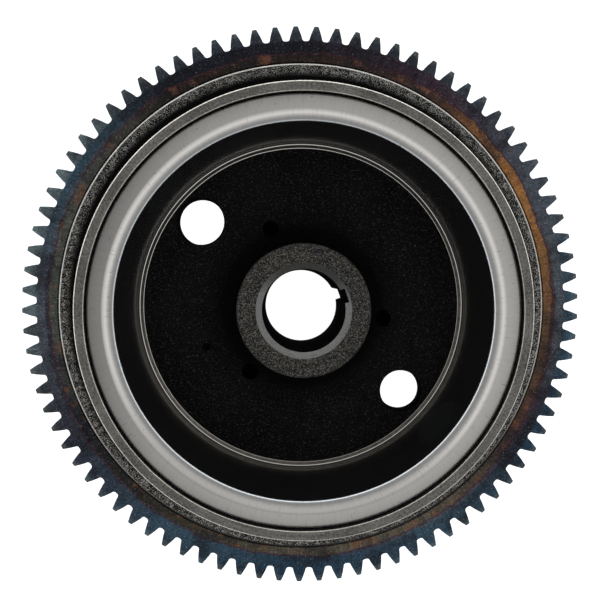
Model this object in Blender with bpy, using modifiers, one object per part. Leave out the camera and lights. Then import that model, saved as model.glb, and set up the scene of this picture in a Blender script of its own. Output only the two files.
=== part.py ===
"""Flywheel rotor of a small engine, made of the pieces that it comes apart into.

An iron casting carries everything: a hub with a keyed bore, a web, and a cup whose wall holds
twelve arc magnets, spaced by a moulded cage and held in by a drawn stainless cover. A steel
starter ring gear is shrunk onto a seat outside the cup, against a shoulder.

The origin is on the crankshaft axis, in the plane that the casting's back rests on. +Z points out
of the open side of the cup, where the engine's stator goes in. All lengths are in metres.
"""

import math

import bmesh
import bpy

# Starter ring gear: everything else is in proportion to its standard tooth size
GEAR_MODULE = 0.0020
GEAR_TEETH = 85
PRESSURE_ANGLE = math.radians(20.0)
TOOTH_THINNING = 0.0003
GEAR_PHASE = math.radians(2.46)
GEAR_FRONT_Z = 0.0200
GEAR_WIDTH = 0.0097
GEAR_TIP_RELIEF = 0.0004
GEAR_ROOT_FILLET = 0.0008

# The casting, from the outside in
SHOULDER_RADIUS = 0.0800
SHOULDER_TOP_Z = 0.0100
SHOULDER_BACK_Z = 0.0025
SEAT_RADIUS = 0.0755
LEDGE_Z = 0.0207
RIM_RADIUS = 0.0634
RIM_FOOT_RADIUS = 0.0646
RIM_TOP_Z = 0.0480
CUP_RADIUS = 0.0606
WEB_FRONT_Z = 0.0075
WEB_BACK_Z = 0.0015
BACK_FACE_OUTER_RADIUS = 0.0700
BACK_FACE_INNER_RADIUS = 0.0560
HUB_RADIUS = 0.0199
HUB_FOOT_RADIUS = 0.0207
HUB_TOP_Z = 0.0340
HUB_BACK_RADIUS = 0.0240
CASTING_CHAMFER = 0.0005

# Bore, keyway and the holes through the web
BORE_MOUTH_RADIUS = 0.0124
BORE_BACK_RADIUS = 0.0119
COUNTERSINK_RADIUS = 0.0142
COUNTERSINK_DEPTH = 0.0015
KEYWAY_WIDTH = 0.0042
KEYWAY_FLOOR = 0.0135
KEYWAY_ANGLE = math.radians(19.7)
WEB_HOLES = (
    (0.0430, math.radians(139.8), 0.0075),
    (0.0433, math.radians(-40.5), 0.0067),
)
PULLER_CIRCLE_RADIUS = 0.0272
PULLER_HOLE_RADIUS = 0.0026
PULLER_HOLE_DEPTH = 0.0045
PULLER_FIRST_ANGLE = math.radians(-8.3)
PULLER_HOLES = 3
PUNCH_MARK_CIRCLE = 0.0340
PUNCH_MARK_ANGLE = math.radians(-156.8)
PUNCH_MARK_RADIUS = 0.0013
PUNCH_MARK_DEPTH = 0.0008
BALANCE_CIRCLE_RADIUS = 0.0745
BALANCE_HOLE_RADIUS = 0.0035
BALANCE_HOLE_DEPTH = 0.0045
BALANCE_ANGLES = (math.radians(238.0), math.radians(248.0), math.radians(258.0))

# Magnets, cage and cover inside the cup
GAP = 0.0003
MAGNETS = 12
COVER_SHEET = 0.0006
COVER_WALL_RADIUS = 0.0532
COVER_FLANGE_Z = 0.0463
COVER_FLANGE_BEND = 0.0020
COVER_LIP_Z = 0.0084
COVER_LIP_BEND = 0.0006
COVER_LIP_RADIUS = 0.0516
CAGE_BAR_WIDTH = 0.0024
CAGE_RING_HEIGHT = 0.0030

# Facets round a full turn, on turned pieces and on drilled holes
TURN_STEPS = 72
HOLE_STEPS = 32
MAGNET_STEPS = 8

TURN_MERGE = 0.00002


def polar(radius, angle, z=0.0):
    return (radius * math.cos(angle), radius * math.sin(angle), z)


def arc(centre, radius, start_degrees, end_degrees, steps):
    """Points on an arc in the half section, as (radius, z) pairs, both ends included."""
    points = []
    for step in range(steps + 1):
        angle = math.radians(start_degrees + (end_degrees - start_degrees) * step / steps)
        points.append((centre[0] + radius * math.cos(angle), centre[1] + radius * math.sin(angle)))
    return points


# ---------------------------------------------------------------- scene and materials

def clear_scene():
    for old in list(bpy.data.objects):
        bpy.data.objects.remove(old, do_unlink=True)


def new_collection(name):
    group = bpy.data.collections.new(name)
    bpy.context.scene.collection.children.link(group)
    return group


def metal(name, colour, roughness, metallic=1.0):
    """A Principled material in one colour."""
    material = bpy.data.materials.new(name)
    material.use_nodes = True
    shader = material.node_tree.nodes["Principled BSDF"]
    shader.inputs["Base Color"].default_value = (*colour, 1.0)
    shader.inputs["Roughness"].default_value = roughness
    shader.inputs["Metallic"].default_value = metallic
    material.diffuse_color = (*colour, 1.0)
    return material


def shade(obj):
    """Smooth shading with the turned edges kept sharp."""
    obj.data.shade_smooth()
    obj.data.set_sharp_from_angle(angle=math.radians(30.0))


# ---------------------------------------------------------------- shapes

def new_object(name, mesh, group):
    obj = bpy.data.objects.new(name, mesh)
    group.objects.link(obj)
    return obj


def turned(name, profile, group, closed=True):
    """A profile of (radius, z) points, run down its outer side, turned round the axis."""
    mesh = bpy.data.meshes.new(name)
    vertices = [(radius, 0.0, z) for radius, z in profile]
    edges = [(index, index + 1) for index in range(len(profile) - 1)]
    if closed:
        edges.append((len(profile) - 1, 0))
    mesh.from_pydata(vertices, edges, [])
    obj = new_object(name, mesh, group)
    screw = obj.modifiers.new("turn", "SCREW")
    screw.axis = "Z"
    screw.angle = math.tau
    screw.steps = TURN_STEPS
    screw.render_steps = TURN_STEPS
    screw.use_merge_vertices = True
    screw.merge_threshold = TURN_MERGE
    screw.use_smooth_shade = True
    return obj


def flat_outline(name, outlines, low_z, high_z, group):
    """Closed outlines of (x, y) points filled and extruded: the first is the outside, others holes."""
    curve = bpy.data.curves.new(name, "CURVE")
    curve.dimensions = "2D"
    curve.fill_mode = "BOTH"
    curve.extrude = (high_z - low_z) / 2.0
    for outline in outlines:
        spline = curve.splines.new("POLY")
        spline.points.add(len(outline) - 1)
        for point, (x, y) in zip(spline.points, outline):
            point.co = (x, y, 0.0, 1.0)
        spline.use_cyclic_u = True
    obj = bpy.data.objects.new(name, curve)
    group.objects.link(obj)
    obj.location.z = (high_z + low_z) / 2.0
    return obj


def guide(obj):
    """Marks a cutter or a joined shape, which isn't a piece of its own."""
    obj.hide_render = True
    obj.display_type = "WIRE"
    return obj


def combine(obj, other, operation):
    boolean = obj.modifiers.new(other.name, "BOOLEAN")
    boolean.operation = operation
    boolean.solver = "EXACT"
    boolean.object = other


def cone_tool(name, low_radius, high_radius, low_z, high_z, place, group):
    """A closed cone or cylinder along the axis, standing at an (x, y) place."""
    mesh = bpy.data.meshes.new(name)
    shape = bmesh.new()
    bmesh.ops.create_cone(
        shape, cap_ends=True, segments=HOLE_STEPS,
        radius1=low_radius, radius2=high_radius, depth=high_z - low_z,
    )
    shape.to_mesh(mesh)
    shape.free()
    tool = new_object(name, mesh, group)
    tool.location = (place[0], place[1], (low_z + high_z) / 2.0)
    return guide(tool)


def box_tool(name, size, centre, angle, group):
    """A box turned about the axis, whose centre is at a (radius, z) place."""
    mesh = bpy.data.meshes.new(name)
    shape = bmesh.new()
    bmesh.ops.create_cube(shape, size=1.0)
    bmesh.ops.scale(shape, vec=size, verts=shape.verts)
    shape.to_mesh(mesh)
    shape.free()
    tool = new_object(name, mesh, group)
    tool.location = polar(centre[0], angle, centre[1])
    tool.rotation_euler.z = angle
    return guide(tool)


# ---------------------------------------------------------------- the casting

def casting_profile():
    """Half section: down the outside, in across the back, up the bore and out over the cup."""
    ledge_fillet = 0.0030
    foot_blend = 0.0060
    back_edge = 0.0010
    outside = [
        (RIM_RADIUS - CASTING_CHAMFER, RIM_TOP_Z),
        (RIM_RADIUS, RIM_TOP_Z - CASTING_CHAMFER),
        (RIM_FOOT_RADIUS, LEDGE_Z + ledge_fillet),
        (RIM_FOOT_RADIUS + 0.3 * ledge_fillet, LEDGE_Z + 0.3 * ledge_fillet),
        (RIM_FOOT_RADIUS + ledge_fillet, LEDGE_Z),
        (SEAT_RADIUS - CASTING_CHAMFER, LEDGE_Z),
        (SEAT_RADIUS, LEDGE_Z - CASTING_CHAMFER),
        (SEAT_RADIUS, SHOULDER_TOP_Z),
        (SHOULDER_RADIUS - CASTING_CHAMFER, SHOULDER_TOP_Z),
        (SHOULDER_RADIUS, SHOULDER_TOP_Z - CASTING_CHAMFER),
    ]
    back = [
        (SHOULDER_RADIUS, SHOULDER_BACK_Z + back_edge),
        (SHOULDER_RADIUS - back_edge, SHOULDER_BACK_Z),
        (BACK_FACE_OUTER_RADIUS + back_edge, SHOULDER_BACK_Z),
        (BACK_FACE_OUTER_RADIUS, 0.0),
        (BACK_FACE_INNER_RADIUS, 0.0),
        (BACK_FACE_INNER_RADIUS - back_edge, WEB_BACK_Z),
        (HUB_BACK_RADIUS + back_edge, WEB_BACK_Z),
        (HUB_BACK_RADIUS, 0.0),
        (BORE_BACK_RADIUS + CASTING_CHAMFER, 0.0),
        (BORE_BACK_RADIUS, CASTING_CHAMFER),
    ]
    hub = [
        (BORE_MOUTH_RADIUS, HUB_TOP_Z - COUNTERSINK_DEPTH),
        (COUNTERSINK_RADIUS, HUB_TOP_Z),
        (HUB_RADIUS - CASTING_CHAMFER, HUB_TOP_Z),
        (HUB_RADIUS, HUB_TOP_Z - CASTING_CHAMFER),
        (HUB_FOOT_RADIUS, WEB_FRONT_Z + foot_blend),
        (HUB_FOOT_RADIUS + 0.30 * foot_blend, WEB_FRONT_Z + 0.52 * foot_blend),
        (HUB_FOOT_RADIUS + 0.95 * foot_blend, WEB_FRONT_Z + 0.22 * foot_blend),
        (HUB_FOOT_RADIUS + 1.80 * foot_blend, WEB_FRONT_Z),
    ]
    cup = [
        (CUP_RADIUS, WEB_FRONT_Z),
        (CUP_RADIUS, RIM_TOP_Z - CASTING_CHAMFER),
        (CUP_RADIUS + CASTING_CHAMFER, RIM_TOP_Z),
    ]
    return outside + back + hub + cup


def flywheel_casting(group, tools):
    casting = turned("flywheel_casting", casting_profile(), group)
    over = 0.005
    keyway = box_tool(
        "keyway_cutter", (KEYWAY_FLOOR, KEYWAY_WIDTH, HUB_TOP_Z + 2.0 * over),
        (KEYWAY_FLOOR / 2.0, HUB_TOP_Z / 2.0), KEYWAY_ANGLE, tools,
    )
    combine(casting, keyway, "DIFFERENCE")
    for number, (circle, angle, radius) in enumerate(WEB_HOLES, start=1):
        tool = cone_tool(
            f"web_hole_cutter_{number}", radius, radius, -over, WEB_FRONT_Z + over,
            polar(circle, angle), tools,
        )
        combine(casting, tool, "DIFFERENCE")
    for number in range(PULLER_HOLES):
        angle = PULLER_FIRST_ANGLE + number * math.tau / PULLER_HOLES
        tool = cone_tool(
            f"puller_hole_cutter_{number + 1}", PULLER_HOLE_RADIUS, PULLER_HOLE_RADIUS,
            WEB_FRONT_Z - PULLER_HOLE_DEPTH, HUB_TOP_Z, polar(PULLER_CIRCLE_RADIUS, angle), tools,
        )
        combine(casting, tool, "DIFFERENCE")
    for number, angle in enumerate(BALANCE_ANGLES, start=1):
        tool = cone_tool(
            f"balance_hole_cutter_{number}", BALANCE_HOLE_RADIUS, BALANCE_HOLE_RADIUS,
            -over, SHOULDER_BACK_Z + BALANCE_HOLE_DEPTH, polar(BALANCE_CIRCLE_RADIUS, angle), tools,
        )
        combine(casting, tool, "DIFFERENCE")
    mark = cone_tool(
        "punch_mark_cutter", 0.0, 2.0 * PUNCH_MARK_RADIUS,
        WEB_FRONT_Z - PUNCH_MARK_DEPTH, WEB_FRONT_Z + PUNCH_MARK_DEPTH,
        polar(PUNCH_MARK_CIRCLE, PUNCH_MARK_ANGLE), tools,
    )
    combine(casting, mark, "DIFFERENCE")
    casting.data.materials.append(metal("cast_iron_black", (0.020, 0.020, 0.022), 0.55))
    return casting


# ---------------------------------------------------------------- the starter ring gear

def tooth_half_angle(radius):
    """Half the angle that a tooth fills at a radius of its involute flanks."""
    pitch_radius = GEAR_MODULE * GEAR_TEETH / 2.0
    base_radius = pitch_radius * math.cos(PRESSURE_ANGLE)
    thickness = math.pi * GEAR_MODULE / 2.0 - TOOTH_THINNING
    roll = math.acos(base_radius / radius)
    involute = math.tan(roll) - roll
    involute_at_pitch = math.tan(PRESSURE_ANGLE) - PRESSURE_ANGLE
    return thickness / (2.0 * pitch_radius) + involute_at_pitch - involute


def tooth_flank():
    """One flank as (radius, angle from the tooth's middle), from the root up to the tip."""
    pitch_radius = GEAR_MODULE * GEAR_TEETH / 2.0
    tip = pitch_radius + GEAR_MODULE
    root = pitch_radius - 1.25 * GEAR_MODULE
    foot = root + GEAR_ROOT_FILLET
    shoulder = tip - GEAR_TIP_RELIEF
    return [
        (root, tooth_half_angle(foot) + 0.75 * GEAR_ROOT_FILLET / root),
        (foot, tooth_half_angle(foot)),
        (pitch_radius, tooth_half_angle(pitch_radius)),
        (shoulder, tooth_half_angle(shoulder)),
        (tip, tooth_half_angle(tip) - 0.5 * GEAR_TIP_RELIEF / tip),
    ]


def gear_outline():
    flank = tooth_flank()
    outline = []
    for tooth in range(GEAR_TEETH):
        middle = GEAR_PHASE + tooth * math.tau / GEAR_TEETH
        for radius, half_angle in flank:
            outline.append(polar(radius, middle - half_angle)[:2])
        for radius, half_angle in reversed(flank):
            outline.append(polar(radius, middle + half_angle)[:2])
    return outline


def starter_ring_gear(group):
    bore = SEAT_RADIUS + GAP
    bore_steps = 2 * GEAR_TEETH
    inside = [polar(bore, step * math.tau / bore_steps)[:2] for step in range(bore_steps)]
    gear = flat_outline(
        "starter_ring_gear", [gear_outline(), inside],
        GEAR_FRONT_Z - GEAR_WIDTH, GEAR_FRONT_Z, group,
    )
    gear.data.materials.append(metal("gear_steel_blued", (0.055, 0.060, 0.068), 0.42))
    return gear


# ---------------------------------------------------------------- magnets, cage and cover

def magnet_band():
    """The ring behind the cover's wall: inner and outer radius, and the top, under the bend."""
    inner = COVER_WALL_RADIUS + COVER_SHEET + GAP
    outer = CUP_RADIUS - GAP
    top = COVER_FLANGE_Z - COVER_FLANGE_BEND
    return inner, outer, top


def magnets(group):
    inner, outer, top = magnet_band()
    bottom = WEB_FRONT_Z + GAP + CAGE_RING_HEIGHT + GAP
    side_gap = math.asin((CAGE_BAR_WIDTH / 2.0 + GAP) / inner)
    half = math.pi / MAGNETS - side_gap
    ferrite = metal("ferrite_dark_grey", (0.060, 0.060, 0.062), 0.60, metallic=0.0)
    for number in range(MAGNETS):
        middle = number * math.tau / MAGNETS
        angles = [middle - half + 2.0 * half * step / MAGNET_STEPS for step in range(MAGNET_STEPS + 1)]
        outline = [polar(outer, angle)[:2] for angle in angles]
        outline += [polar(inner, angle)[:2] for angle in reversed(angles)]
        magnet = flat_outline(f"magnet_{number + 1:02d}", [outline], bottom, top, group)
        magnet.data.materials.append(ferrite)


def magnet_cage(group, tools):
    """A ring on the web with a bar standing up between each two magnets."""
    inner, outer, top = magnet_band()
    low = WEB_FRONT_Z + GAP
    high = low + CAGE_RING_HEIGHT
    ring = [(outer, high), (outer, low), (inner, low), (inner, high)]
    cage = turned("magnet_cage", ring, group)
    bar_depth = outer - inner - 2.0 * GAP
    bar_low = low + CAGE_RING_HEIGHT / 2.0
    for number in range(MAGNETS):
        bar = box_tool(
            f"cage_bar_{number + 1:02d}", (bar_depth, CAGE_BAR_WIDTH, top - bar_low),
            ((inner + outer) / 2.0, (top + bar_low) / 2.0),
            (number + 0.5) * math.tau / MAGNETS, tools,
        )
        combine(cage, bar, "UNION")
    cage.data.materials.append(metal("nylon_black", (0.015, 0.015, 0.016), 0.50, metallic=0.0))
    return cage


def magnet_cover(group):
    """Drawn sheet: a flange over the magnets, a straight wall, and a lip turned in on the web."""
    _, outer, _ = magnet_band()
    bend_top = (COVER_WALL_RADIUS + COVER_FLANGE_BEND, COVER_FLANGE_Z - COVER_FLANGE_BEND)
    bend_low = (COVER_WALL_RADIUS - COVER_LIP_BEND, COVER_LIP_Z + COVER_LIP_BEND)
    profile = [(outer, COVER_FLANGE_Z)]
    profile += arc(bend_top, COVER_FLANGE_BEND, 90.0, 180.0, 4)
    profile += arc(bend_low, COVER_LIP_BEND, 0.0, -90.0, 2)
    profile.append((COVER_LIP_RADIUS, COVER_LIP_Z))
    cover = turned("magnet_cover", profile, group, closed=False)
    sheet = cover.modifiers.new("sheet", "SOLIDIFY")
    sheet.thickness = COVER_SHEET
    sheet.offset = 1.0
    sheet.use_even_offset = True
    cover.data.materials.append(metal("stainless_satin", (0.420, 0.415, 0.405), 0.28))
    return cover


# ---------------------------------------------------------------- the whole flywheel

def main():
    clear_scene()
    group = new_collection("flywheel")
    tools = new_collection("cutters")
    shade_later = [
        flywheel_casting(group, tools),
        magnet_cage(group, tools),
        magnet_cover(group),
    ]
    starter_ring_gear(group)
    magnets(group)
    for obj in shade_later:
        shade(obj)


main()
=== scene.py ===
"""The looks of the flywheel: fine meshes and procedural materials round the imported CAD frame.

All lengths are in metres. The axis of the flywheel is Z, the open side of its cup faces +Z, and the
machined back stands on the floor at z = 0.
"""

import math

import bmesh
import bpy
from mathutils import Matrix, Vector, noise

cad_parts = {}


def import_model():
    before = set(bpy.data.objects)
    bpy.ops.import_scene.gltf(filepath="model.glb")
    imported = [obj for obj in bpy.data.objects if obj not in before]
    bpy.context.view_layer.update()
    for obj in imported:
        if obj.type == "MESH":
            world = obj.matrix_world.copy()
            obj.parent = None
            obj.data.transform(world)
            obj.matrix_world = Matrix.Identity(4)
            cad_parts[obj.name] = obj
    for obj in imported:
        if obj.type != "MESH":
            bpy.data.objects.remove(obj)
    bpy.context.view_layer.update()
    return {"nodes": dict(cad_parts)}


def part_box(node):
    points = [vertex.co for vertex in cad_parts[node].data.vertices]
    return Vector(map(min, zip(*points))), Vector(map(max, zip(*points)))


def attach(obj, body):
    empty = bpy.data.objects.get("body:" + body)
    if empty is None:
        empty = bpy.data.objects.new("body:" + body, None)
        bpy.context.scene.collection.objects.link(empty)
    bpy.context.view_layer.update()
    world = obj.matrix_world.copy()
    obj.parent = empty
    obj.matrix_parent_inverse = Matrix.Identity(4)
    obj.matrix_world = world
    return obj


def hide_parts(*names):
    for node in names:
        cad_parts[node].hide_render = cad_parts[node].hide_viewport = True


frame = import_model()

# ---------------------------------------------------------------- sizes read from the frame

CASTING_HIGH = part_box("flywheel_casting")[1]
GEAR_LOW, GEAR_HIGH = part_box("starter_ring_gear")
COVER_LOW, COVER_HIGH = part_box("magnet_cover")
CAGE_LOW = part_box("magnet_cage")[0]

GAP = 0.0003
SHOULDER_RADIUS = CASTING_HIGH.x
RIM_TOP = CASTING_HIGH.z
GEAR_FRONT = GEAR_HIGH.z
GEAR_BACK = GEAR_LOW.z
COVER_TOP = COVER_HIGH.z
COVER_FLANGE_RADIUS = COVER_HIGH.x
COVER_BOTTOM = COVER_LOW.z
CUP_RADIUS = COVER_FLANGE_RADIUS + GAP
WEB_FRONT = CAGE_LOW.z - GAP

# Starter ring gear
GEAR_TEETH = 85
GEAR_MODULE = 0.0020
PITCH_RADIUS = GEAR_MODULE * GEAR_TEETH / 2.0
PRESSURE_ANGLE = math.radians(20.0)
TOOTH_THINNING = 0.0003
GEAR_PHASE = math.radians(2.46)
GEAR_BORE = 0.0758

# The casting's own sizes
SEAT_RADIUS = GEAR_BORE - GAP
SEAT_BACK = 0.0100
SEAT_EDGE = (0.0005, 0.0003)
LEDGE = GEAR_FRONT + 0.0007
RIM_RADIUS = 0.0634
RIM_FOOT_RADIUS = 0.0646
SHOULDER_BACK = 0.0025
WEB_BACK = 0.0015
BACK_FACE_RADII = (0.0560, 0.0700)
HUB_RADIUS = 0.0199
HUB_TOP = 0.0340
HUB_BACK_RADIUS = 0.0240
BACK_SLOPE = 0.0010
BORE_RADII = (0.0119, 0.0124)
COUNTERSINK_RADIUS = 0.0142
COUNTERSINK_DEPTH = 0.0015
RIM_EDGE = 0.0003
MOUTH_EDGE = 0.0002
KEYWAY_WIDTH = 0.0042
KEYWAY_FLOOR = 0.0135
KEYWAY_ANGLE = math.radians(19.7)
# The cone round the hub's foot: radius, height and fillet of each corner
HUB_FOOT = ((0.0207, 0.0135, 0.0040), (0.0265, 0.0086, 0.0060), (0.0325, WEB_FRONT, 0.0080))
# Distance from the axis, angle and radius of each through hole in the web
WEB_HOLES = ((0.0430, math.radians(139.8), 0.0075), (0.0433, math.radians(-40.5), 0.0067))
HOLE_EDGE = 0.0003
PULLER_CIRCLE = 0.0272
PULLER_RADIUS = 0.0026
PULLER_DEPTH = 0.0045
PULLER_ANGLES = [math.radians(-8.3 + 120.0 * step) for step in range(3)]
THREAD_PITCH = 0.0010
THREAD_DEPTH = 0.0003
THREAD_RINGS = 40
PUNCH_MARK = (0.0340, math.radians(-156.8), 0.0013)
PUNCH_DEPTH = 0.0008
BALANCE_CIRCLE = 0.0745
BALANCE_RADIUS = 0.0035
BALANCE_DEPTH = 0.0040
DRILL_POINT = 0.0015
POINT_RADIUS = 0.0001
BALANCE_ANGLES = [math.radians(angle) for angle in (238.0, 248.0, 258.0)]

# Magnet cover
COVER_SHEET = 0.0006
COVER_WALL = 0.0528
COVER_FOOT_WALL = 0.0532
COVER_LIP_RADIUS = 0.0514
COVER_ROLL_START = 0.0560
COVER_ROLL_DROP = 0.0019
COVER_LIP_BEND = 0.0005
COVER_CUT_EDGE = 0.00012
# How far the flange's face dips towards its outer edge, as (radius, drop)
COVER_DIP = ((COVER_FLANGE_RADIUS, 0.00015), (0.0597, 0.00008), (0.0588, 0.00003), (0.0574, 0.0))

# Steps round a full turn, and in one fillet
CASTING_STEPS = 240
COVER_STEPS = 360
FILLET_STEPS = 4
LONGEST_SIDE = 0.0040
SHARP_ANGLE = math.radians(32.0)

# The casting's finishes, by material index
ROUGH, HUB_FACE, MACHINED, BRIGHT_EDGE, BLACK, BARE_LEDGE, COUNTERSINK, SEAT_CORNER = range(8)


# ---------------------------------------------------------------- mesh helpers

def polar(radius, angle, z=0.0):
    """The point at a distance from the axis, at an angle from +X."""
    return Vector((radius * math.cos(angle), radius * math.sin(angle), z))


def rounded(corners):
    """A closed outline of (radius, z, fillet) corners, each corner turned into an arc."""
    points = []
    count = len(corners)
    for index, (radius, z, fillet) in enumerate(corners):
        here = Vector((radius, z))
        before = (Vector(corners[index - 1][:2]) - here).normalized()
        after = (Vector(corners[(index + 1) % count][:2]) - here).normalized()
        if fillet <= 0.0:
            points.append(here)
            continue
        opening = before.angle(after)
        centre = here + (before + after).normalized() * fillet / math.sin(opening / 2.0)
        start = here + before * fillet / math.tan(opening / 2.0) - centre
        end = here + after * fillet / math.tan(opening / 2.0) - centre
        sweep = start.angle_signed(end)
        for step in range(FILLET_STEPS + 1):
            turn = Matrix.Rotation(-sweep * step / FILLET_STEPS, 2)
            points.append(centre + turn @ start)
    return points


def divided(points):
    """The same closed outline with no side longer than LONGEST_SIDE."""
    result = []
    for index, point in enumerate(points):
        following = points[(index + 1) % len(points)]
        pieces = max(1, math.ceil((following - point).length / LONGEST_SIDE))
        result += [point.lerp(following, step / pieces) for step in range(pieces)]
    return result


def grid_faces(rows, count):
    """Faces between rows of points. Each row is a closed loop, and the last row joins the first."""
    faces = []
    for row in range(rows):
        here = row * count
        there = (row + 1) % rows * count
        for index in range(count):
            following = (index + 1) % count
            faces.append((here + index, here + following, there + following, there + index))
    return faces


def turned_mesh(name, outline, steps):
    """A closed outline in the (radius, z) half plane turned round the axis."""
    vertices = []
    for step in range(steps):
        angle = math.tau * step / steps
        vertices += [polar(point.x, angle, point.y) for point in outline]
    return mesh_object(name, vertices, grid_faces(steps, len(outline)))


def mesh_object(name, vertices, faces):
    """A new object in the scene, with its face normals turned outwards."""
    mesh = bpy.data.meshes.new(name)
    mesh.from_pydata([tuple(vertex) for vertex in vertices], [], faces)
    shape = bmesh.new()
    shape.from_mesh(mesh)
    bmesh.ops.recalc_face_normals(shape, faces=shape.faces)
    shape.to_mesh(mesh)
    shape.free()
    obj = bpy.data.objects.new(name, mesh)
    bpy.context.scene.collection.objects.link(obj)
    return obj


def smooth(obj):
    """Smooth shading, except across sharp edges."""
    obj.data.shade_smooth()
    obj.data.set_sharp_from_angle(angle=SHARP_ANGLE)


def drum(shape, outline, place, steps, thread=0.0):
    """Adds a closed turned cutter, flat at both ends, to a bmesh: (radius, z) points from bottom to top."""
    rings = []
    for radius, z in outline:
        ring = []
        for step in range(steps):
            turn = step / steps
            deep = radius
            if thread:
                phase = (z / THREAD_PITCH - turn) % 1.0
                deep += thread * (1.0 - 2.0 * abs(phase - 0.5))
            ring.append(shape.verts.new(place + polar(deep, math.tau * turn, z)))
        rings.append(ring)
    for low, high in zip(rings, rings[1:]):
        for step in range(steps):
            following = (step + 1) % steps
            shape.faces.new((low[step], low[following], high[following], high[step]))
    shape.faces.new(list(reversed(rings[0])))
    shape.faces.new(rings[-1])


def slab(shape, size, centre, angle):
    """Adds a closed box, turned about Z, to a bmesh."""
    place = Matrix.Translation(centre) @ Matrix.Rotation(angle, 4, "Z") @ Matrix.Diagonal((*size, 1.0))
    bmesh.ops.create_cube(shape, size=1.0, matrix=place)


def cut(obj, tool):
    """Takes the tool's volume away from the object, and removes the tool."""
    boolean = obj.modifiers.new("cut", "BOOLEAN")
    boolean.operation = "DIFFERENCE"
    boolean.solver = "EXACT"
    boolean.material_mode = "TRANSFER"
    boolean.object = tool
    evaluated = obj.evaluated_get(bpy.context.evaluated_depsgraph_get())
    mesh = bpy.data.meshes.new_from_object(evaluated)
    obj.modifiers.clear()
    obj.data = mesh
    bpy.data.objects.remove(tool, do_unlink=True)


# ---------------------------------------------------------------- material helpers

class Graph:
    """A node tree, and short calls that add nodes to it."""

    def __init__(self, tree, coordinate):
        self.tree = tree
        self.place = self.add("ShaderNodeTexCoord").outputs[coordinate]

    def add(self, kind, **settings):
        node = self.tree.nodes.new(kind)
        for key, value in settings.items():
            setattr(node, key, value)
        return node

    def put(self, socket, value):
        """Links an output to a socket, or sets the socket's own value."""
        if isinstance(value, bpy.types.NodeSocket):
            self.tree.links.new(value, socket)
        elif isinstance(value, tuple) and len(value) == 3 and socket.type == "RGBA":
            socket.default_value = (*value, 1.0)
        else:
            socket.default_value = value

    def noise(self, scale, detail=4.0, rough=0.55, vector=None):
        node = self.add("ShaderNodeTexNoise")
        self.put(node.inputs["Vector"], vector or self.place)
        self.put(node.inputs["Scale"], scale)
        self.put(node.inputs["Detail"], detail)
        self.put(node.inputs["Roughness"], rough)
        return node.outputs["Fac"]

    def ramp(self, factor, *stops):
        node = self.add("ShaderNodeValToRGB")
        elements = node.color_ramp.elements
        while len(elements) < len(stops):
            elements.new(0.5)
        for element, (position, colour) in zip(elements, stops):
            element.position = position
            if not isinstance(colour, tuple):
                colour = (colour, colour, colour)
            element.color = (*colour, 1.0)
        self.put(node.inputs["Fac"], factor)
        return node.outputs["Color"]

    def maths(self, operation, first, second=0.0):
        node = self.add("ShaderNodeMath", operation=operation)
        self.put(node.inputs[0], first)
        self.put(node.inputs[1], second)
        return node.outputs["Value"]

    def times(self, first, second):
        return self.maths("MULTIPLY", first, second)

    def plus(self, first, second):
        return self.maths("ADD", first, second)

    def span(self, value, low, high, to_low=0.0, to_high=1.0):
        """The value mapped smoothly from one range to another and held at the ends."""
        node = self.add("ShaderNodeMapRange", interpolation_type="SMOOTHSTEP")
        for socket, number in zip(node.inputs[:5], (value, low, high, to_low, to_high)):
            self.put(socket, number)
        return node.outputs["Result"]

    def mix(self, factor, first, second, blend="MIX"):
        """Two colours mixed. A Mix node has sockets for numbers and vectors too, so these are by number."""
        node = self.add("ShaderNodeMix", data_type="RGBA", blend_type=blend)
        self.put(node.inputs["Factor"], factor)
        self.put(node.inputs[6], first)
        self.put(node.inputs[7], second)
        return node.outputs[2]

    def shaded(self, colour, factor):
        """A colour multiplied by a number or by another colour."""
        return self.mix(1.0, colour, factor, blend="MULTIPLY")

    def round_place(self):
        """Distance from the axis, angle about it from -1 to 1 (a half turn each way), and height."""
        parts = self.add("ShaderNodeSeparateXYZ")
        self.put(parts.inputs[0], self.place)
        x, y, z = parts.outputs
        squares = self.plus(self.times(x, x), self.times(y, y))
        radius = self.maths("SQRT", squares)
        angle = self.maths("DIVIDE", self.maths("ARCTAN2", y, x), math.pi)
        return radius, angle, z

    def vector(self, x, y, z):
        node = self.add("ShaderNodeCombineXYZ")
        for socket, value in zip(node.inputs, (x, y, z)):
            self.put(socket, value)
        return node.outputs[0]

    def toward(self, direction):
        """How far a place lies along a direction."""
        node = self.add("ShaderNodeVectorMath", operation="DOT_PRODUCT")
        self.put(node.inputs[0], self.place)
        node.inputs[1].default_value = direction
        return node.outputs["Value"]

    def facing(self, direction, radius):
        """How far round the axis a place is from a direction: 1 on that side, -1 on the opposite side."""
        return self.maths("DIVIDE", self.toward(direction), radius)


class Finish(Graph):
    """One material with its Principled shader."""

    def __init__(self, name, roughness=0.5, metallic=0.0, specular=0.5):
        self.material = bpy.data.materials.new(name)
        self.material.use_nodes = True
        super().__init__(self.material.node_tree, "Object")
        self.shader = self.tree.nodes["Principled BSDF"]
        self.set("Roughness", roughness)
        self.set("Metallic", metallic)
        self.set("Specular IOR Level", specular)

    def set(self, name, value):
        self.put(self.shader.inputs[name], value)

    def bump(self, height, strength, distance):
        node = self.add("ShaderNodeBump")
        self.put(node.inputs["Strength"], strength)
        self.put(node.inputs["Distance"], distance)
        self.put(node.inputs["Height"], height)
        self.put(self.shader.inputs["Normal"], node.outputs[0])


# ---------------------------------------------------------------- camera, light and floor

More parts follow.
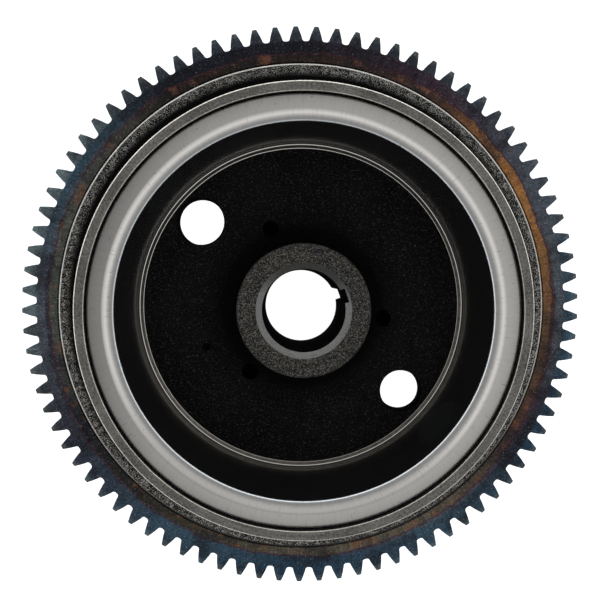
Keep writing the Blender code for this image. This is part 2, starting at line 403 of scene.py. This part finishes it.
# The tent: its plain level, the glow overhead (a little to the front right) and the horizon's band
TENT_LEVEL = 0.35
OVERHEAD = (0.067, -0.080, 0.995)
OVERHEAD_FOCUS = 13.0
OVERHEAD_GLOW = 0.62
HORIZON_GLOW = 1.25
HORIZON_SIDE = (-0.15, 0.54, 0.0)
HORIZON_TOP = (0.42, 0.08)
TABLE_EDGE = -0.42
BELOW_TABLE = 0.004
WARM = (1.015, 1.00, 0.98)
COOL = (0.93, 1.00, 1.07)

# The lamp, the camera and the floor
LIGHT_PLACE = (0.067, -0.080, 1.20)
LIGHT_SIZE = 0.30
LIGHT_POWER = 0.05
CAMERA_PLACE = (-0.00680, 0.01222, 0.24596)
CAMERA_AIM = (-0.00080, 0.00260, GEAR_FRONT)
CAMERA_LENS = 43.42
FLOOR_HALF = 25.0
FLOOR_Z = -0.0002


def camera():
    """Looks almost straight down the axis into the cup, a little off to one side."""
    place = Vector(CAMERA_PLACE)
    data = bpy.data.cameras.new("camera")
    data.lens = CAMERA_LENS
    data.sensor_width = 36.0
    data.clip_start = 0.01
    obj = bpy.data.objects.new("camera", data)
    forward = (Vector(CAMERA_AIM) - place).normalized()
    right = forward.cross(Vector((0.0, 1.0, 0.0))).normalized()
    up = right.cross(forward)
    turn = Matrix((right, up, -forward)).transposed()
    obj.matrix_world = Matrix.Translation(place) @ turn.to_4x4()
    bpy.context.scene.collection.objects.link(obj)
    bpy.context.scene.camera = obj


def overhead_light():
    """A round soft light that faces the middle of the flywheel."""
    data = bpy.data.lights.new("overhead", "AREA")
    data.shape = "DISK"
    data.size = LIGHT_SIZE
    data.energy = LIGHT_POWER
    obj = bpy.data.objects.new("overhead", data)
    obj.location = LIGHT_PLACE
    away = Vector(LIGHT_PLACE) - Vector((0.0, 0.0, GEAR_FRONT))
    obj.rotation_euler = away.to_track_quat("Z", "Y").to_euler()
    bpy.context.scene.collection.objects.link(obj)


def world():
    """A white tent: a warm glow overhead, a cooler band round the horizon, and dark far below."""
    scene = bpy.context.scene
    scene.world = bpy.data.worlds.new("studio")
    scene.world.use_nodes = True
    tent = Graph(scene.world.node_tree, "Generated")
    height = tent.toward((0.0, 0.0, 1.0))
    overhead = tent.maths("MAXIMUM", tent.toward(OVERHEAD), 0.0)
    glow = tent.times(tent.maths("POWER", overhead, OVERHEAD_FOCUS), OVERHEAD_GLOW)
    band = tent.span(height, *HORIZON_TOP, 0.0, HORIZON_GLOW)
    side = tent.plus(tent.toward(HORIZON_SIDE), 1.0)
    level = tent.plus(tent.times(band, side), glow)
    level = tent.plus(level, TENT_LEVEL)
    level = tent.times(level, tent.span(height, TABLE_EDGE - 0.12, TABLE_EDGE, BELOW_TABLE, 1.0))
    background = scene.world.node_tree.nodes["Background"]
    tent.put(background.inputs["Color"], tent.mix(tent.span(height, 0.2, 0.9), COOL, WARM))
    tent.put(background.inputs["Strength"], level)
    scene.view_settings.view_transform = "Standard"


def floor():
    """A pale table that glows, like a light table, but isn't mirrored in the flywheel."""
    corners = [(FLOOR_HALF * x, FLOOR_HALF * y, FLOOR_Z) for x, y in ((-1, -1), (1, -1), (1, 1), (-1, 1))]
    mesh = bpy.data.meshes.new("floor")
    mesh.from_pydata(corners, [], [(0, 1, 2, 3)])
    obj = bpy.data.objects.new("floor", mesh)
    bpy.context.scene.collection.objects.link(obj)
    finish = Finish("pale_table", roughness=0.6, specular=0.2)
    finish.set("Base Color", (0.80, 0.80, 0.80))
    finish.set("Emission Color", (1.0, 1.0, 1.0))
    finish.set("Emission Strength", 1.0)
    mesh.materials.append(finish.material)
    obj.visible_glossy = False
    obj.visible_diffuse = False


# ---------------------------------------------------------------- materials

def rough_black_iron():
    """Sand-cast iron under thin black: nearly black, with grains that catch the light, and painted shade
    round the hub.
    """
    finish = Finish("rough_black_iron", roughness=0.6, specular=0.12)
    radius, _, _ = finish.round_place()
    grain = finish.noise(1900.0, detail=3.0, rough=0.65)
    patch = finish.noise(60.0, detail=4.0)
    base = finish.ramp(patch, (0.35, (0.0022, 0.0020, 0.0026)), (0.65, (0.0075, 0.0062, 0.0066)))
    specks = finish.ramp(grain, (0.57, 0.0), (0.70, 1.0))
    # Painted shade: the casting turns darker towards the hub, as the hub's shadow on its foot.
    painted_shade_near_hub = finish.ramp(radius, (0.024, 0.12), (0.034, 1.0))
    colour = finish.mix(specks, base, (0.085, 0.079, 0.081))
    finish.set("Base Color", finish.shaded(colour, painted_shade_near_hub))
    finish.set("Roughness", finish.ramp(grain, (0.3, 0.80), (0.8, 0.42)))
    height = finish.plus(grain, finish.times(finish.noise(500.0), 1.5))
    finish.bump(height, 0.7, 0.0003)
    return finish.material


def ledge_iron():
    """Bare rough casting outside the cup: salt and pepper grains, with painted shade that turns it black
    against the cup's wall.
    """
    finish = Finish("bare_ledge_iron", roughness=0.45, metallic=0.6, specular=0.1)
    radius, _, _ = finish.round_place()
    grain = finish.noise(3000.0, detail=2.0, rough=0.6)
    coarse = finish.noise(800.0, detail=3.0)
    mixed = finish.plus(finish.times(grain, 0.72), finish.times(coarse, 0.28))
    colour = finish.ramp(mixed, (0.42, (0.002, 0.002, 0.003)), (0.50, (0.045, 0.044, 0.041)),
                         (0.61, (0.62, 0.60, 0.56)))
    # Painted shade: black towards the cup's wall, where the wall shades the ledge.
    shade = finish.span(radius, 0.0714, 0.0740)
    finish.set("Base Color", finish.mix(shade, (0.002, 0.002, 0.002), colour))
    finish.bump(mixed, 0.8, 0.0004)
    return finish.material


def hub_iron():
    """The hub's rough end face: grey, evenly gritty, with warm and bright grains."""
    finish = Finish("gritty_hub_iron", roughness=0.5, metallic=0.5, specular=0.4)
    grain = finish.noise(2900.0, detail=2.0, rough=0.6)
    warm = finish.noise(240.0, detail=3.0)
    glint = finish.noise(1500.0, detail=1.0)
    dark = finish.mix(warm, (0.017, 0.018, 0.023), (0.038, 0.034, 0.024))
    colour = finish.ramp(grain, (0.39, 0.22), (0.52, 1.5), (0.62, 7.5))
    colour = finish.shaded(dark, colour)
    bright = finish.ramp(glint, (0.70, 0.0), (0.76, 0.8))
    finish.set("Base Color", finish.mix(bright, colour, (0.34, 0.32, 0.27)))
    finish.bump(grain, 0.8, 0.0003)
    return finish.material


def machined_iron(name, low, high, roughness, tint, painted_lit_side=None, shade=1.0):
    """Turned cast iron: fine rings, mottled by the tool, and, where painted_lit_side is given, painted
    light: darker (by shade) away from that side.
    """
    finish = Finish(name, roughness=roughness, metallic=1.0)
    radius, angle, height = finish.round_place()
    rings = finish.noise(1.0, detail=4.0, vector=finish.vector(
        finish.times(radius, 6000.0), finish.times(angle, 9.0),
        finish.times(height, 6000.0)))
    mottle = finish.noise(1500.0, detail=4.0, rough=0.7)
    patches = finish.noise(110.0, detail=3.0)
    mixed = finish.plus(finish.times(rings, 0.30), finish.times(mottle, 0.50))
    mixed = finish.plus(mixed, finish.times(patches, 0.20))
    dull = tuple(low * part for part in tint)
    pale = tuple(high * part for part in tint)
    colour = finish.ramp(mixed, (0.40, dull), (0.60, pale))
    # Painted light and shade: full colour on the lit side, darkened by shade towards the far side.
    if painted_lit_side:
        side = finish.facing(painted_lit_side, radius)
        colour = finish.shaded(colour, finish.span(side, -0.85, -0.20, shade, 1.0))
    finish.set("Base Color", colour)
    finish.set("Roughness", finish.ramp(rings, (0.3, roughness - 0.08), (0.7, roughness + 0.08)))
    finish.bump(mixed, 0.35, 0.00008)
    return finish.material


def bore_iron():
    """The bore, keyway and drilled holes: smooth dark steel, painted near-black as shade, blacker still in
    the holes past the hub.
    """
    finish = Finish("dark_bore", roughness=0.4, metallic=0.2, specular=0.15)
    radius, _, _ = finish.round_place()
    hub = (HUB_RADIUS + 0.0001, HUB_RADIUS + 0.0011)
    # Painted shade: past the hub, inside the drilled holes, the colour is made blacker still.
    holes = finish.span(radius, *hub)
    mark = finish.noise(500.0, detail=3.0)
    black = finish.ramp(mark, (0.3, (0.0030, 0.0030, 0.0034)), (0.7, (0.0090, 0.0090, 0.0100)))
    finish.set("Base Color", finish.mix(holes, black, (0.001, 0.001, 0.001)))
    finish.set("Roughness", finish.span(radius, *hub, 0.4, 1.0))
    finish.bump(mark, 0.2, 0.00005)
    return finish.material


# Heat tints of the ring gear, as 8-bit colours seen under the studio light
STRAW = (122, 85, 50)
GOLD = (78, 60, 41)
TAN = (70, 66, 57)
OLIVE = (44, 41, 34)
BROWN = (52, 39, 36)
SOOT = (33, 27, 25)
COAL = (22, 23, 29)
PURPLE = (44, 34, 42)
DUSK = (38, 39, 47)
INK = (40, 45, 52)
MARINE = (30, 46, 60)
TEAL = (44, 61, 73)
SLATE = (60, 65, 72)
SAGE = (60, 62, 58)
PALE = (72, 83, 87)
MAROON = (56, 30, 38)
RUST = (94, 62, 46)
SHADOW = (25, 24, 29)
WORN_TIP = (100, 108, 108)
SPECK = (116, 120, 116)
STUDIO_LEVEL = 0.50

# The tint at every 30 degrees, anticlockwise from +X, in four bands from the seat to the teeth
INNER_TINTS = (GOLD, STRAW, BROWN, SOOT, SOOT, SAGE, SAGE, COAL, OLIVE, TAN, TAN, BROWN)
MIDDLE_TINTS = (BROWN, SLATE, PURPLE, COAL, COAL, SLATE, DUSK, DUSK, TEAL, MARINE, SLATE, PURPLE)
OUTER_TINTS = (SLATE, SLATE, PURPLE, COAL, COAL, TEAL, SLATE, DUSK, TEAL, MARINE, TEAL, COAL)
TOOTH_TINTS = (TEAL, SLATE, INK, INK, INK, PALE, PALE, DUSK, TEAL, MARINE, TEAL, MARINE)


def seen(colour):
    """The metal's own colour that looks like an 8-bit colour under the studio light."""
    return tuple(((value / 255.0 + 0.055) / 1.055) ** 2.4 / STUDIO_LEVEL for value in colour)


def blued_steel():
    """Steel coloured by heat: straw and brown by the seat, then purple, blue and grey-green teeth."""
    finish = Finish("heat_tinted_steel", roughness=0.42, metallic=0.9)
    radius, angle, _ = finish.round_place()
    half_turns = finish.times(angle, math.pi)
    ring_place = finish.vector(finish.maths("COSINE", half_turns), finish.maths("SINE", half_turns), 0.0)
    drift = finish.maths("SUBTRACT", finish.noise(12.0, vector=ring_place), 0.5)
    turn = finish.maths("FRACT", finish.plus(finish.times(angle, 0.5), finish.times(drift, 0.07)))

    def round_the_ring(tints):
        """One band's tints, each fading into the next round the ring."""
        stops = [(index / 12.0, seen(tint)) for index, tint in enumerate(tints + tints[:1])]
        return finish.ramp(turn, *stops)

    def patch(colour, where, amount, tint):
        """The colour, part covered by a tint."""
        return finish.mix(finish.times(where, amount), colour, seen(tint))

    wander = finish.maths("SUBTRACT", finish.noise(7.0, detail=5.0, vector=ring_place), 0.5)
    blotch = finish.noise(380.0, detail=5.0, rough=0.65)
    fine = finish.noise(1700.0, detail=3.0, rough=0.6)
    cloud = finish.noise(120.0, detail=4.0, rough=0.6)
    streaks = finish.noise(1.0, detail=3.0, vector=finish.vector(
        finish.times(angle, 240.0), finish.times(radius, 120.0), 0.0))
    # The distance from the seat, in millimetres, made uneven so that the bands wander
    depth = finish.times(finish.maths("SUBTRACT", radius, GEAR_BORE), 1000.0)
    depth = finish.plus(depth, finish.times(wander, 3.0))
    depth = finish.plus(depth, finish.times(finish.maths("SUBTRACT", blotch, 0.5), 2.4))
    inner = finish.span(depth, 2.5, 3.0, 1.0, 0.0)
    colour = finish.mix(inner, round_the_ring(MIDDLE_TINTS), round_the_ring(INNER_TINTS))
    colour = finish.mix(finish.span(depth, 3.7, 4.5), colour, round_the_ring(OUTER_TINTS))
    colour = finish.mix(finish.span(radius, 0.0819, 0.0832), colour, round_the_ring(TOOTH_TINTS))
    edge_line = finish.times(finish.span(depth, 2.6, 2.9), finish.span(depth, 3.0, 3.5, 1.0, 0.0))
    colour = patch(colour, edge_line, 0.70, MAROON)
    rust = finish.ramp(finish.noise(210.0, detail=3.0), (0.57, 0.0), (0.64, 1.0))
    colour = patch(colour, finish.times(inner, rust), 0.55, RUST)
    dark = finish.ramp(cloud, (0.48, 0.0), (0.60, 1.0))
    colour = patch(colour, dark, 0.60, SHADOW)
    tip = finish.span(radius, 0.0845, 0.0868)
    colour = patch(colour, tip, 0.30, WORN_TIP)
    specks = finish.ramp(fine, (0.63, 0.0), (0.70, 1.0))
    colour = patch(colour, specks, 0.32, SPECK)
    mottle = finish.plus(finish.times(fine, 0.45), finish.times(blotch, 0.35))
    mottle = finish.plus(mottle, finish.times(streaks, 0.20))
    shade = finish.ramp(mottle, (0.38, 0.50), (0.50, 1.05), (0.62, 1.90))
    finish.set("Base Color", finish.shaded(colour, shade))
    finish.set("Roughness", finish.ramp(blotch, (0.3, 0.36), (0.7, 0.55)))
    finish.bump(mottle, 0.35, 0.00014)
    return finish.material


# Sides of the cover: where the flange's painted shade and the lip's painted light fall, and where the roll
# is rougher
PAINTED_SHADE_FLANGE_SIDE = (-0.99, 0.12, 0.0)
WORN_ROLL_SIDE = (-0.17, -0.98, 0.0)
PAINTED_LIGHT_LIP_SIDE = (0.20, -0.98, 0.0)
# Where the smooth wall's gloss turns into the flange's satin, and the wall's own roughness
ROLL_BAND = (0.0535, 0.0550)
WALL_ROUGHNESS = (0.20, 0.20, 0.20)


def stainless_sheet():
    """Drawn stainless: a satin flange with faint radial marks and painted shade on one side, a smooth wall,
    and a lip darker at the wall's foot, with painted light on one side.
    """
    finish = Finish("satin_stainless", roughness=0.22, metallic=1.0)
    radius, angle, height = finish.round_place()
    marks = finish.noise(1.0, detail=4.0, rough=0.7, vector=finish.vector(
        finish.times(angle, 170.0), finish.times(radius, 160.0), 0.0))
    scratches = finish.noise(1.0, detail=1.0, vector=finish.vector(
        finish.times(angle, 330.0), finish.times(radius, 260.0), 3.0))
    cloud = finish.noise(45.0, detail=4.0)
    pits = finish.noise(900.0, detail=1.0)
    # The bare sheet, with its marks
    pale = finish.ramp(marks, (0.32, (0.590, 0.578, 0.560)), (0.68, (0.665, 0.658, 0.645)))
    pale = finish.mix(finish.times(cloud, 0.35), pale, (0.53, 0.52, 0.51))
    pale = finish.mix(finish.ramp(scratches, (0.66, 0.0), (0.73, 0.45)), pale, (0.33, 0.32, 0.31))
    pale = finish.mix(finish.ramp(pits, (0.74, 0.0), (0.79, 0.6)), pale, (0.24, 0.23, 0.22))
    # Darker at the wall's foot and on the lip, with painted light making it brighter on one side, and the
    # bend and the cut edge kept pale
    foot = finish.span(height, WEB_FRONT + 0.0110, WEB_FRONT + 0.0060)
    dark_foot_colour = finish.ramp(finish.noise(700.0), (0.35, (0.045, 0.042, 0.038)), (0.65, (0.090, 0.086, 0.078)))
    # Painted light: the dark foot and lip are lighter on one side and darker on the other.
    painted_lip_light = finish.span(finish.facing(PAINTED_LIGHT_LIP_SIDE, radius), -0.6, 0.7, 0.45, 2.6)
    dark_foot_colour = finish.shaded(dark_foot_colour, painted_lip_light)
    bend = finish.times(finish.span(radius, COVER_FOOT_WALL - 0.0006, COVER_FOOT_WALL - 0.0004),
                        finish.span(height, WEB_FRONT + 0.0020, WEB_FRONT + 0.0017))
    rim = finish.span(radius, COVER_LIP_RADIUS + 0.0004, COVER_LIP_RADIUS + 0.0002)
    # The flange has painted shade, darker on one side, and the roll is rougher on another
    on_flange = finish.span(radius, COVER_ROLL_START - 0.0002, COVER_ROLL_START + 0.0004)
    side = finish.facing(PAINTED_SHADE_FLANGE_SIDE, radius)
    painted_flange_shade = finish.ramp(side, (0.0, 0.79), (0.62, 0.71), (0.97, 0.50))
    flange_with_painted_shade = finish.shaded(pale, painted_flange_shade)
    colour = finish.mix(foot, finish.mix(on_flange, pale, flange_with_painted_shade), dark_foot_colour)
    finish.set("Base Color", finish.mix(finish.maths("MAXIMUM", bend, rim), colour, (0.66, 0.65, 0.63)))
    worn = finish.span(finish.facing(WORN_ROLL_SIDE, radius), 0.3, 0.95, 0.0, 0.20)
    worn = finish.times(worn, finish.span(radius, COVER_ROLL_START, COVER_ROLL_START + 0.0010, 1.0, 0.0))
    satin = finish.plus(finish.ramp(marks, (0.3, 0.21), (0.7, 0.27)), worn)
    finish.set("Roughness", finish.mix(finish.span(radius, *ROLL_BAND), WALL_ROUGHNESS, satin))
    finish.bump(marks, 0.03, 0.00002)
    return finish.material


def ferrite():
    """Sintered magnet: dark grey and finely grained."""
    finish = Finish("sintered_ferrite", roughness=0.6, specular=0.4)
    grain = finish.noise(1100.0, detail=4.0)
    finish.set("Base Color", finish.ramp(grain, (0.3, (0.030, 0.030, 0.032)), (0.7, (0.075, 0.074, 0.076))))
    finish.bump(grain, 0.3, 0.00008)
    return finish.material


def moulded_nylon():
    """The cage's black plastic."""
    finish = Finish("moulded_nylon", roughness=0.5, specular=0.5)
    grain = finish.noise(2500.0, detail=2.0)
    finish.set("Base Color", finish.ramp(grain, (0.3, (0.010, 0.010, 0.011)), (0.7, (0.018, 0.018, 0.019))))
    finish.bump(grain, 0.2, 0.00005)
    return finish.material


# ---------------------------------------------------------------- pieces

def casting_outline():
    """Half section of the casting, clockwise: down the outside, up the bore, and up the cup's wall."""
    corners = [
        (RIM_RADIUS - RIM_EDGE, RIM_TOP, 0.0),
        (RIM_RADIUS, RIM_TOP - RIM_EDGE, 0.0),
        (RIM_FOOT_RADIUS, LEDGE, 0.0030),
        (SEAT_RADIUS - SEAT_EDGE[0], LEDGE, 0.0001),
        (SEAT_RADIUS, LEDGE - SEAT_EDGE[1], 0.0001),
        (SEAT_RADIUS, SEAT_BACK, 0.0),
        (SHOULDER_RADIUS, SEAT_BACK, 0.0005),
        (SHOULDER_RADIUS, SHOULDER_BACK, 0.0010),
        (BACK_FACE_RADII[1] + BACK_SLOPE, SHOULDER_BACK, 0.0006),
        (BACK_FACE_RADII[1], 0.0, 0.0003),
        (BACK_FACE_RADII[0], 0.0, 0.0003),
        (BACK_FACE_RADII[0] - BACK_SLOPE, WEB_BACK, 0.0008),
        (HUB_BACK_RADIUS + BACK_SLOPE, WEB_BACK, 0.0008),
        (HUB_BACK_RADIUS, 0.0, 0.0003),
        (BORE_RADII[0], 0.0, 0.0005),
        (BORE_RADII[1], HUB_TOP - COUNTERSINK_DEPTH, 0.0),
        (COUNTERSINK_RADIUS, HUB_TOP, 0.0001),
        (HUB_RADIUS, HUB_TOP, 0.0006),
        *HUB_FOOT,
        (CUP_RADIUS, WEB_FRONT, 0.0002),
        (CUP_RADIUS, RIM_TOP - MOUTH_EDGE, 0.0),
        (CUP_RADIUS + MOUTH_EDGE, RIM_TOP, 0.0),
    ]
    return divided(rounded(corners))


def casting_tool(materials):
    """Everything that is drilled or cut out of the casting, as one cutter."""
    shape = bmesh.new()
    over = 0.004
    slab(shape, (KEYWAY_FLOOR, KEYWAY_WIDTH, HUB_TOP + 2 * over),
         polar(KEYWAY_FLOOR / 2, KEYWAY_ANGLE, HUB_TOP / 2), KEYWAY_ANGLE)
    for circle, angle, radius in WEB_HOLES:
        outline = [(radius + over, WEB_BACK - HOLE_EDGE - over), (radius, WEB_BACK + HOLE_EDGE),
                   (radius, WEB_FRONT - HOLE_EDGE), (radius + over, WEB_FRONT - HOLE_EDGE + over)]
        drum(shape, outline, polar(circle, angle), 72)
    rise = PULLER_DEPTH + over
    levels = [WEB_FRONT - PULLER_DEPTH + rise * step / THREAD_RINGS for step in range(THREAD_RINGS + 1)]
    outline = [(PULLER_RADIUS, z) for z in levels]
    for angle in PULLER_ANGLES:
        drum(shape, outline, polar(PULLER_CIRCLE, angle), 24, thread=THREAD_DEPTH)
    top = SHOULDER_BACK + BALANCE_DEPTH
    outline = [(BALANCE_RADIUS, -over), (BALANCE_RADIUS, top), (POINT_RADIUS, top + DRILL_POINT)]
    for angle in BALANCE_ANGLES:
        drum(shape, outline, polar(BALANCE_CIRCLE, angle), 40)
    circle, angle, radius = PUNCH_MARK
    outline = [(POINT_RADIUS, WEB_FRONT - PUNCH_DEPTH), (2 * radius, WEB_FRONT + PUNCH_DEPTH)]
    drum(shape, outline, polar(circle, angle), 24)
    mesh = bpy.data.meshes.new("cutter")
    bmesh.ops.recalc_face_normals(shape, faces=shape.faces)
    shape.to_mesh(mesh)
    shape.free()
    for material in materials:
        mesh.materials.append(material)
    for face in mesh.polygons:
        face.material_index = BLACK
    tool = bpy.data.objects.new("cutter", mesh)
    bpy.context.scene.collection.objects.link(tool)
    return tool


def casting_region(centre, normal):
    """Which finish a face of the casting has."""
    radius = math.hypot(centre.x, centre.y)
    z = centre.z
    level = normal.z > 0.99
    if radius < COUNTERSINK_RADIUS and z > HUB_TOP - COUNTERSINK_DEPTH:
        return COUNTERSINK
    if radius < BORE_RADII[1] + 0.0002:
        return BLACK
    if z > HUB_TOP - 0.0008 and radius < HUB_RADIUS + 0.0005:
        return HUB_FACE
    if z > RIM_TOP - RIM_EDGE and radius > CUP_RADIUS:
        return MACHINED if level else BRIGHT_EDGE
    if radius > SEAT_RADIUS - SEAT_EDGE[0] - 0.0001 and z > GEAR_FRONT - 0.0001:
        return BARE_LEDGE if level else SEAT_CORNER
    if radius > RIM_FOOT_RADIUS and abs(z - LEDGE) < 0.0025 and normal.z > 0.3:
        return BARE_LEDGE
    if radius > SEAT_RADIUS - 0.0001 or (z < 0.0004 and normal.z < -0.9):
        return MACHINED
    return ROUGH


def roughen(obj, regions, amount, scale):
    """Moves the rough-cast surfaces in and out a little, as a sand mould leaves them."""
    mesh = obj.data
    rough = set()
    fine = set()
    for face in mesh.polygons:
        (rough if face.material_index in regions else fine).update(face.vertices)
    for index in rough - fine:
        vertex = mesh.vertices[index]
        wave = noise.fractal(vertex.co * scale, 1.0, 2.0, 3)
        vertex.co += vertex.normal * wave * amount


def casting():
    """The iron casting, with each region in its own finish."""
    obj = turned_mesh("casting", casting_outline(), CASTING_STEPS)
    materials = [
        rough_black_iron(),
        hub_iron(),
        machined_iron("machined_rim_iron", 0.074, 0.290, 0.42, (1.0, 0.97, 0.91)),
        machined_iron("bright_edge_iron", 0.36, 0.78, 0.36, (1.0, 0.89, 0.76)),
        bore_iron(),
        ledge_iron(),
        # The countersink and the seat's edge carry painted light: one side lighter, the far side painted
        # darker.
        machined_iron("countersink_iron", 0.19, 0.31, 0.30, (1.0, 0.95, 0.88),
                      painted_lit_side=(-0.10, -0.99, 0.0), shade=0.30),
        machined_iron("seat_edge_iron", 0.30, 0.66, 0.36, (1.0, 0.92, 0.82),
                      painted_lit_side=(-0.10, 0.99, 0.0), shade=0.10),
    ]
    for material in materials:
        obj.data.materials.append(material)
    for face in obj.data.polygons:
        face.material_index = casting_region(face.center, face.normal)
    cut(obj, casting_tool(materials))
    roughen(obj, {ROUGH, HUB_FACE, BARE_LEDGE}, 0.00008, 170.0)
    smooth(obj)
    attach(obj, "root")
    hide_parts("flywheel_casting")


def tooth_half_angle(radius):
    """Half the angle that a tooth fills at a radius of its involute flanks."""
    base_radius = PITCH_RADIUS * math.cos(PRESSURE_ANGLE)
    thickness = math.pi * GEAR_MODULE / 2.0 - TOOTH_THINNING
    roll = math.acos(base_radius / radius)
    at_pitch = math.tan(PRESSURE_ANGLE) - PRESSURE_ANGLE
    return thickness / (2.0 * PITCH_RADIUS) + at_pitch - (math.tan(roll) - roll)


def tooth_side():
    """One side of a tooth as (radius, angle from its middle), root to tip, without the middle."""
    tip = PITCH_RADIUS + GEAR_MODULE
    root = PITCH_RADIUS - 1.25 * GEAR_MODULE
    fillet_height = 0.0009
    fillet_width = 0.00085
    tip_round = 0.00048
    foot = root + fillet_height
    shoulder = tip - tip_round
    points = []
    for step in range(6):
        t = math.pi / 2 * step / 5
        points.append((root + fillet_height * (1 - math.cos(t)),
                       tooth_half_angle(foot) + fillet_width / root * (1 - math.sin(t))))
    for step in range(1, 6):
        radius = foot + (shoulder - foot) * step / 5
        points.append((radius, tooth_half_angle(radius)))
    wide = tooth_half_angle(shoulder)
    for step in range(1, 5):
        t = math.pi / 2 * step / 4
        points.append((shoulder + tip_round * math.sin(t), wide - 0.9 * tip_round / tip * (1 - math.cos(t))))
    return points


def gear_outline():
    """The whole toothed outline as points in the plane."""
    side = tooth_side()
    outline = []
    for tooth in range(GEAR_TEETH):
        middle = GEAR_PHASE + tooth * math.tau / GEAR_TEETH
        outline += [polar(radius, middle - half) for radius, half in side]
        outline += [polar(radius, middle + half) for radius, half in reversed(side)]
    return outline


def pulled_in(outline, distance):
    """The outline moved inwards by a distance, along its own normals."""
    result = []
    for index, point in enumerate(outline):
        along = (outline[(index + 1) % len(outline)] - outline[index - 1]).normalized()
        result.append(point + Vector((-along.y, along.x, 0.0)) * distance)
    return result


def ring_gear():
    """The starter ring gear, with broken edges and a slightly uneven face."""
    edge = 0.00018
    outline = gear_outline()
    inner = pulled_in(outline, edge)
    face_radii = [GEAR_BORE + 0.0003, 0.0768, 0.0778, 0.0788, 0.0798, 0.0808, 0.0818]
    rings = []
    for side, level in ((1, GEAR_FRONT), (-1, GEAR_BACK)):
        face = []
        face.append([polar(GEAR_BORE, math.atan2(p.y, p.x), level - side * 0.0003) for p in outline])
        for radius in face_radii:
            face.append([polar(radius, math.atan2(p.y, p.x), level) for p in outline])
        face.append([Vector((p.x, p.y, level)) for p in inner])
        face.append([Vector((p.x, p.y, level - side * edge)) for p in outline])
        rings += face if side > 0 else list(reversed(face))
    vertices = [point for ring in rings for point in ring]
    obj = mesh_object("ring_gear", vertices, grid_faces(len(rings), len(outline)))
    for vertex in obj.data.vertices:
        if math.hypot(vertex.co.x, vertex.co.y) > GEAR_BORE + 0.0002:
            vertex.co.z += 0.00003 * noise.fractal(vertex.co * 300.0, 1.0, 2.0, 3)
    obj.data.materials.append(blued_steel())
    smooth(obj)
    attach(obj, "root")
    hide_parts("starter_ring_gear")


def oval(flat, upright, steps):
    """A quarter oval from a point with a level tangent to a point with an upright one."""
    points = []
    for step in range(steps + 1):
        turn = math.pi / 2 * step / steps
        points.append(Vector((flat[0] + (upright[0] - flat[0]) * math.sin(turn),
                              upright[1] + (flat[1] - upright[1]) * math.cos(turn))))
    return points


def cover():
    """The stainless cover: flange, soft roll into the wall, and a narrow lip on the web."""
    under = COVER_TOP - COVER_SHEET
    roll_end = COVER_TOP - COVER_ROLL_DROP
    foot = COVER_BOTTOM + COVER_SHEET
    lip_start = COVER_FOOT_WALL - COVER_LIP_BEND
    outline = [Vector((radius, COVER_TOP - drop)) for radius, drop in COVER_DIP]
    outline += oval((COVER_ROLL_START, COVER_TOP), (COVER_WALL, roll_end), 24)
    outline += reversed(oval((lip_start, foot), (COVER_FOOT_WALL, foot + COVER_LIP_BEND), 10))
    outline += [Vector((COVER_LIP_RADIUS + COVER_CUT_EDGE, foot)),
                Vector((COVER_LIP_RADIUS, foot - COVER_CUT_EDGE)),
                Vector((COVER_LIP_RADIUS, COVER_BOTTOM))]
    outline += oval((lip_start, COVER_BOTTOM), (COVER_FOOT_WALL + COVER_SHEET, foot + COVER_LIP_BEND), 10)
    outline += reversed(oval((COVER_ROLL_START, under), (COVER_WALL + COVER_SHEET, roll_end), 16))
    outline += [Vector((radius, under - drop)) for radius, drop in reversed(COVER_DIP)]
    obj = turned_mesh("cover", outline, COVER_STEPS)
    obj.data.materials.append(stainless_sheet())
    smooth(obj)
    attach(obj, "root")
    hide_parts("magnet_cover")


def inside_parts():
    """Magnets and cage keep their CAD shapes, behind the cover."""
    magnet = ferrite()
    nylon = moulded_nylon()
    for name, node in frame["nodes"].items():
        if name.startswith("magnet_") and name != "magnet_cover":
            node.data.materials.clear()
            node.data.materials.append(nylon if name == "magnet_cage" else magnet)


world()
floor()
camera()
overhead_light()
casting()
ring_gear()
cover()
inside_parts()
